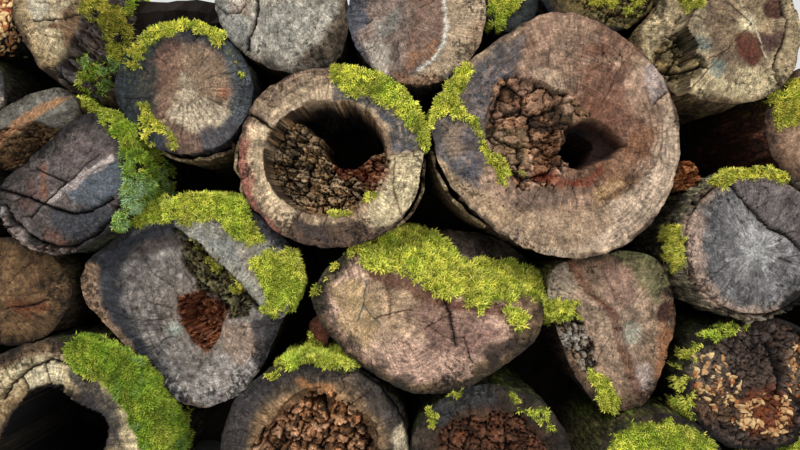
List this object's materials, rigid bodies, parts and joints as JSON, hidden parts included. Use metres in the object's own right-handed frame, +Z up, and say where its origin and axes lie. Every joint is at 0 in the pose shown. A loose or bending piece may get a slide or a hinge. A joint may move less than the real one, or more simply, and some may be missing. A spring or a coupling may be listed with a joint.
{
  "type": "stack of logs",
  "caption": "Loose stack of old, mossy and partly rotten round logs lying across one another's gaps, with their sawn ends to the front.",
  "frame": {"origin": "on the ground, under the middle of the stack's footprint", "axes": "+X across the stack, +Y along the logs away from the front sawn ends, +Z up"},
  "size_m": [3.2838, 2.09, 1.5271],
  "materials": {
    "log_wood": "weathered, sawn ends and mossy bark",
    "loose_bark": "rough"
  },
  "bodies": {
    "root": {"bark_beside_hollow_log": "loose_bark", "bark_under_blue_rimmed_log": "loose_bark", "bark_under_hollow_log": "loose_bark", "bark_under_widest_log": "loose_bark", "barked_log": "log_wood", "bevelled_log": "log_wood", "blue_rimmed_log": "log_wood", "broken_edge_log": "log_wood", "broken_pole": "log_wood", "crusted_log": "log_wood", "dark_ground_log": "log_wood", "fibrous_log": "log_wood", "flat_sided_log": "log_wood", "fungus_log": "log_wood", "ground_log_left": "log_wood", "ground_log_left_end": "log_wood", "ground_log_right": "log_wood", "ground_log_right_end": "log_wood", "hollow_ground_log": "log_wood", "hollow_log": "log_wood", "mossy_ground_log": "log_wood", "ochre_log": "log_wood", "pale_sawn_log": "log_wood", "pole": "log_wood", "rotten_ground_log": "log_wood", "second_row_log_left": "log_wood", "second_row_log_right": "log_wood", "slab_faced_log": "log_wood", "small_grey_log": "log_wood", "small_mossy_log": "log_wood", "speckled_log": "log_wood", "split_end_log": "log_wood", "tapering_log": "log_wood", "thin_ground_log": "log_wood", "third_row_log_left": "log_wood", "third_row_log_right": "log_wood", "torn_billet": "log_wood", "wedge_billet": "log_wood", "widest_log": "log_wood", "yellow_moss_log": "log_wood"}
  },
  "joints": []
}
